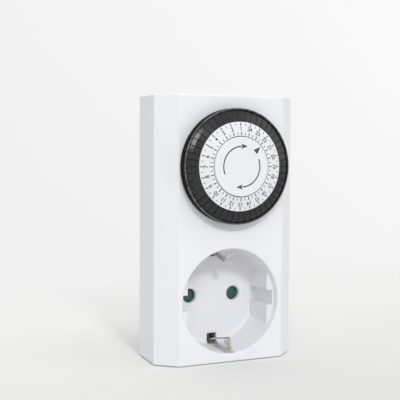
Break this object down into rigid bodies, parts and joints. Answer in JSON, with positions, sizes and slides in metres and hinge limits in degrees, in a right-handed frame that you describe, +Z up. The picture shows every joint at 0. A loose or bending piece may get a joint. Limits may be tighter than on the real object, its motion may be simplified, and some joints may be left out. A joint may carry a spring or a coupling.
{
  "type": "plug-in timer switch",
  "caption": "Plug-in mechanical timer: wall plug behind, earthed socket below and a turning day dial with press-in segments above.",
  "frame": {"origin": "centre of the bounding box in X and Y, at the housing's flat base", "axes": "+Z up along the housing, +X to the right as seen from the front, +Y from the dial towards the wall plug's pins"},
  "size_m": [0.058, 0.0714, 0.1008],
  "materials": {
    "housing_white": "satin moulded plastic",
    "dial_black": "satin moulded plastic",
    "dial_white": "smooth printed plastic",
    "slider_black": "satin moulded plastic",
    "shutter_green": "satin moulded plastic",
    "natural_plastic": "plain moulded plastic",
    "gear_plastic": "smooth moulded plastic",
    "lever_plastic": "smooth moulded plastic",
    "switch_case": "plain moulded plastic",
    "lead_cover": "soft cable plastic",
    "brass": "rolled strip",
    "nickel": "nickel plated",
    "steel": "zinc plated"
  },
  "bodies": {
    "housing": {"front_housing": "housing_white", "rear_cover": "housing_white", "centre_cap": "dial_white", "movement_plate": "natural_plastic", "contact_carrier": "natural_plastic", "snap_switch": "switch_case", "motor_leads": "lead_cover", "line_bus": "brass", "load_bus": "brass", "line_contact": "brass", "neutral_contact": "brass", "switch_terminals": "brass", "line_pin": "nickel", "neutral_pin": "nickel", "earth_clip_lower": "nickel", "earth_clip_upper": "nickel", "earth_bridge": "nickel", "plug_earth_contacts": "nickel", "case_screws": "steel", "plate_screws": "steel", "dial_spindle": "steel", "reduction_axle": "steel", "lever_pin": "steel", "shutter_spring": "steel", "motor": "steel"},
    "dial": {"dial_wheel": "dial_black", "number_ring": "dial_white", "dial_gear": "gear_plastic", "clutch_spring": "steel"},
    "reduction_wheel": {"reduction_gear": "gear_plastic"},
    "motor_output": {"motor_pinion": "gear_plastic"},
    "reader_lever": {"switch_lever": "lever_plastic"},
    "plunger": {"switch_plunger": "lever_plastic"},
    "shutter_plate": {"shutter": "shutter_green"},
    "slider": {"override_slider": "slider_black"},
    "hour_01": {"segments_hour_01": "dial_black"},
    "hour_02": {"segments_hour_02": "dial_black"},
    "hour_03": {"segments_hour_03": "dial_black"},
    "hour_04": {"segments_hour_04": "dial_black"},
    "hour_05": {"segments_hour_05": "dial_black"},
    "hour_06": {"segments_hour_06": "dial_black"},
    "hour_07": {"segments_hour_07": "dial_black"},
    "hour_08": {"segments_hour_08": "dial_black"},
    "hour_09": {"segments_hour_09": "dial_black"},
    "hour_10": {"segments_hour_10": "dial_black"},
    "hour_11": {"segments_hour_11": "dial_black"},
    "hour_12": {"segments_hour_12": "dial_black"},
    "hour_13": {"segments_hour_13": "dial_black"},
    "hour_14": {"segments_hour_14": "dial_black"},
    "hour_15": {"segments_hour_15": "dial_black"},
    "hour_16": {"segments_hour_16": "dial_black"},
    "hour_17": {"segments_hour_17": "dial_black"},
    "hour_18": {"segments_hour_18": "dial_black"},
    "hour_19": {"segments_hour_19": "dial_black"},
    "hour_20": {"segments_hour_20": "dial_black"},
    "hour_21": {"segments_hour_21": "dial_black"},
    "hour_22": {"segments_hour_22": "dial_black"},
    "hour_23": {"segments_hour_23": "dial_black"},
    "hour_24": {"segments_hour_24": "dial_black"}
  },
  "joints": [
    {"name": "dial_spin", "type": "hinge", "parent": "housing", "child": "dial", "pos_m": [0, -0.0308, 0.0742], "axis": [0, 1, 0], "continuous": true},
    {"name": "reduction_spin", "type": "hinge", "parent": "housing", "child": "reduction_wheel", "pos_m": [-0.01237, -0.0218, 0.06183], "axis": [0, 1, 0], "continuous": true},
    {"name": "motor_output_spin", "type": "hinge", "parent": "housing", "child": "motor_output", "pos_m": [-0.00063, -0.0208, 0.05755], "axis": [0, 1, 0], "continuous": true},
    {"name": "reader_lever_swing", "type": "hinge", "parent": "housing", "child": "reader_lever", "pos_m": [0.01246, -0.0238, 0.09508], "axis": [1, 0, 0], "range_deg": [0, 7]},
    {"name": "plunger_press", "type": "slide", "parent": "housing", "child": "plunger", "axis": [0, 1, 0], "range_m": [0, 0.0008]},
    {"name": "shutter_turn", "type": "hinge", "parent": "housing", "child": "shutter_plate", "pos_m": [0, -0.0073, 0.0231], "axis": [0, 1, 0], "range_deg": [0, 36], "stiffness_Nm_per_rad": 0.002, "springref_deg": -14.32},
    {"name": "override_slide", "type": "slide", "parent": "housing", "child": "slider", "axis": [0, 0, 1], "range_m": [0, 0.005]},
    {"name": "hour_01_press", "type": "slide", "parent": "dial", "child": "hour_01", "axis": [0, 1, 0], "range_m": [0, 0.0017]},
    {"name": "hour_02_press", "type": "slide", "parent": "dial", "child": "hour_02", "axis": [0, 1, 0], "range_m": [0, 0.0017]},
    {"name": "hour_03_press", "type": "slide", "parent": "dial", "child": "hour_03", "axis": [0, 1, 0], "range_m": [0, 0.0017]},
    {"name": "hour_04_press", "type": "slide", "parent": "dial", "child": "hour_04", "axis": [0, 1, 0], "range_m": [0, 0.0017]},
    {"name": "hour_05_press", "type": "slide", "parent": "dial", "child": "hour_05", "axis": [0, 1, 0], "range_m": [0, 0.0017]},
    {"name": "hour_06_press", "type": "slide", "parent": "dial", "child": "hour_06", "axis": [0, 1, 0], "range_m": [0, 0.0017]},
    {"name": "hour_07_press", "type": "slide", "parent": "dial", "child": "hour_07", "axis": [0, 1, 0], "range_m": [0, 0.0017]},
    {"name": "hour_08_press", "type": "slide", "parent": "dial", "child": "hour_08", "axis": [0, 1, 0], "range_m": [0, 0.0017]},
    {"name": "hour_09_press", "type": "slide", "parent": "dial", "child": "hour_09", "axis": [0, 1, 0], "range_m": [0, 0.0017]},
    {"name": "hour_10_press", "type": "slide", "parent": "dial", "child": "hour_10", "axis": [0, 1, 0], "range_m": [0, 0.0017]},
    {"name": "hour_11_press", "type": "slide", "parent": "dial", "child": "hour_11", "axis": [0, 1, 0], "range_m": [0, 0.0017]},
    {"name": "hour_12_press", "type": "slide", "parent": "dial", "child": "hour_12", "axis": [0, 1, 0], "range_m": [0, 0.0017]},
    {"name": "hour_13_press", "type": "slide", "parent": "dial", "child": "hour_13", "axis": [0, 1, 0], "range_m": [0, 0.0017]},
    {"name": "hour_14_press", "type": "slide", "parent": "dial", "child": "hour_14", "axis": [0, 1, 0], "range_m": [0, 0.0017]},
    {"name": "hour_15_press", "type": "slide", "parent": "dial", "child": "hour_15", "axis": [0, 1, 0], "range_m": [0, 0.0017]},
    {"name": "hour_16_press", "type": "slide", "parent": "dial", "child": "hour_16", "axis": [0, 1, 0], "range_m": [0, 0.0017]},
    {"name": "hour_17_press", "type": "slide", "parent": "dial", "child": "hour_17", "axis": [0, 1, 0], "range_m": [0, 0.0017]},
    {"name": "hour_18_press", "type": "slide", "parent": "dial", "child": "hour_18", "axis": [0, 1, 0], "range_m": [0, 0.0017]},
    {"name": "hour_19_press", "type": "slide", "parent": "dial", "child": "hour_19", "axis": [0, 1, 0], "range_m": [0, 0.0017]},
    {"name": "hour_20_press", "type": "slide", "parent": "dial", "child": "hour_20", "axis": [0, 1, 0], "range_m": [0, 0.0017]},
    {"name": "hour_21_press", "type": "slide", "parent": "dial", "child": "hour_21", "axis": [0, 1, 0], "range_m": [0, 0.0017]},
    {"name": "hour_22_press", "type": "slide", "parent": "dial", "child": "hour_22", "axis": [0, 1, 0], "range_m": [0, 0.0017]},
    {"name": "hour_23_press", "type": "slide", "parent": "dial", "child": "hour_23", "axis": [0, 1, 0], "range_m": [0, 0.0017]},
    {"name": "hour_24_press", "type": "slide", "parent": "dial", "child": "hour_24", "axis": [0, 1, 0], "range_m": [0, 0.0017]}
  ],
  "couplings": [
    {"joint": "reduction_spin", "follows": "dial_spin", "ratio": -6},
    {"joint": "motor_output_spin", "follows": "dial_spin", "ratio": 24},
    {"joint": "reader_lever_swing", "follows": "hour_22_press", "rad_per_m": 71.8},
    {"joint": "plunger_press", "follows": "hour_22_press", "ratio": 0.47}
  ]
}
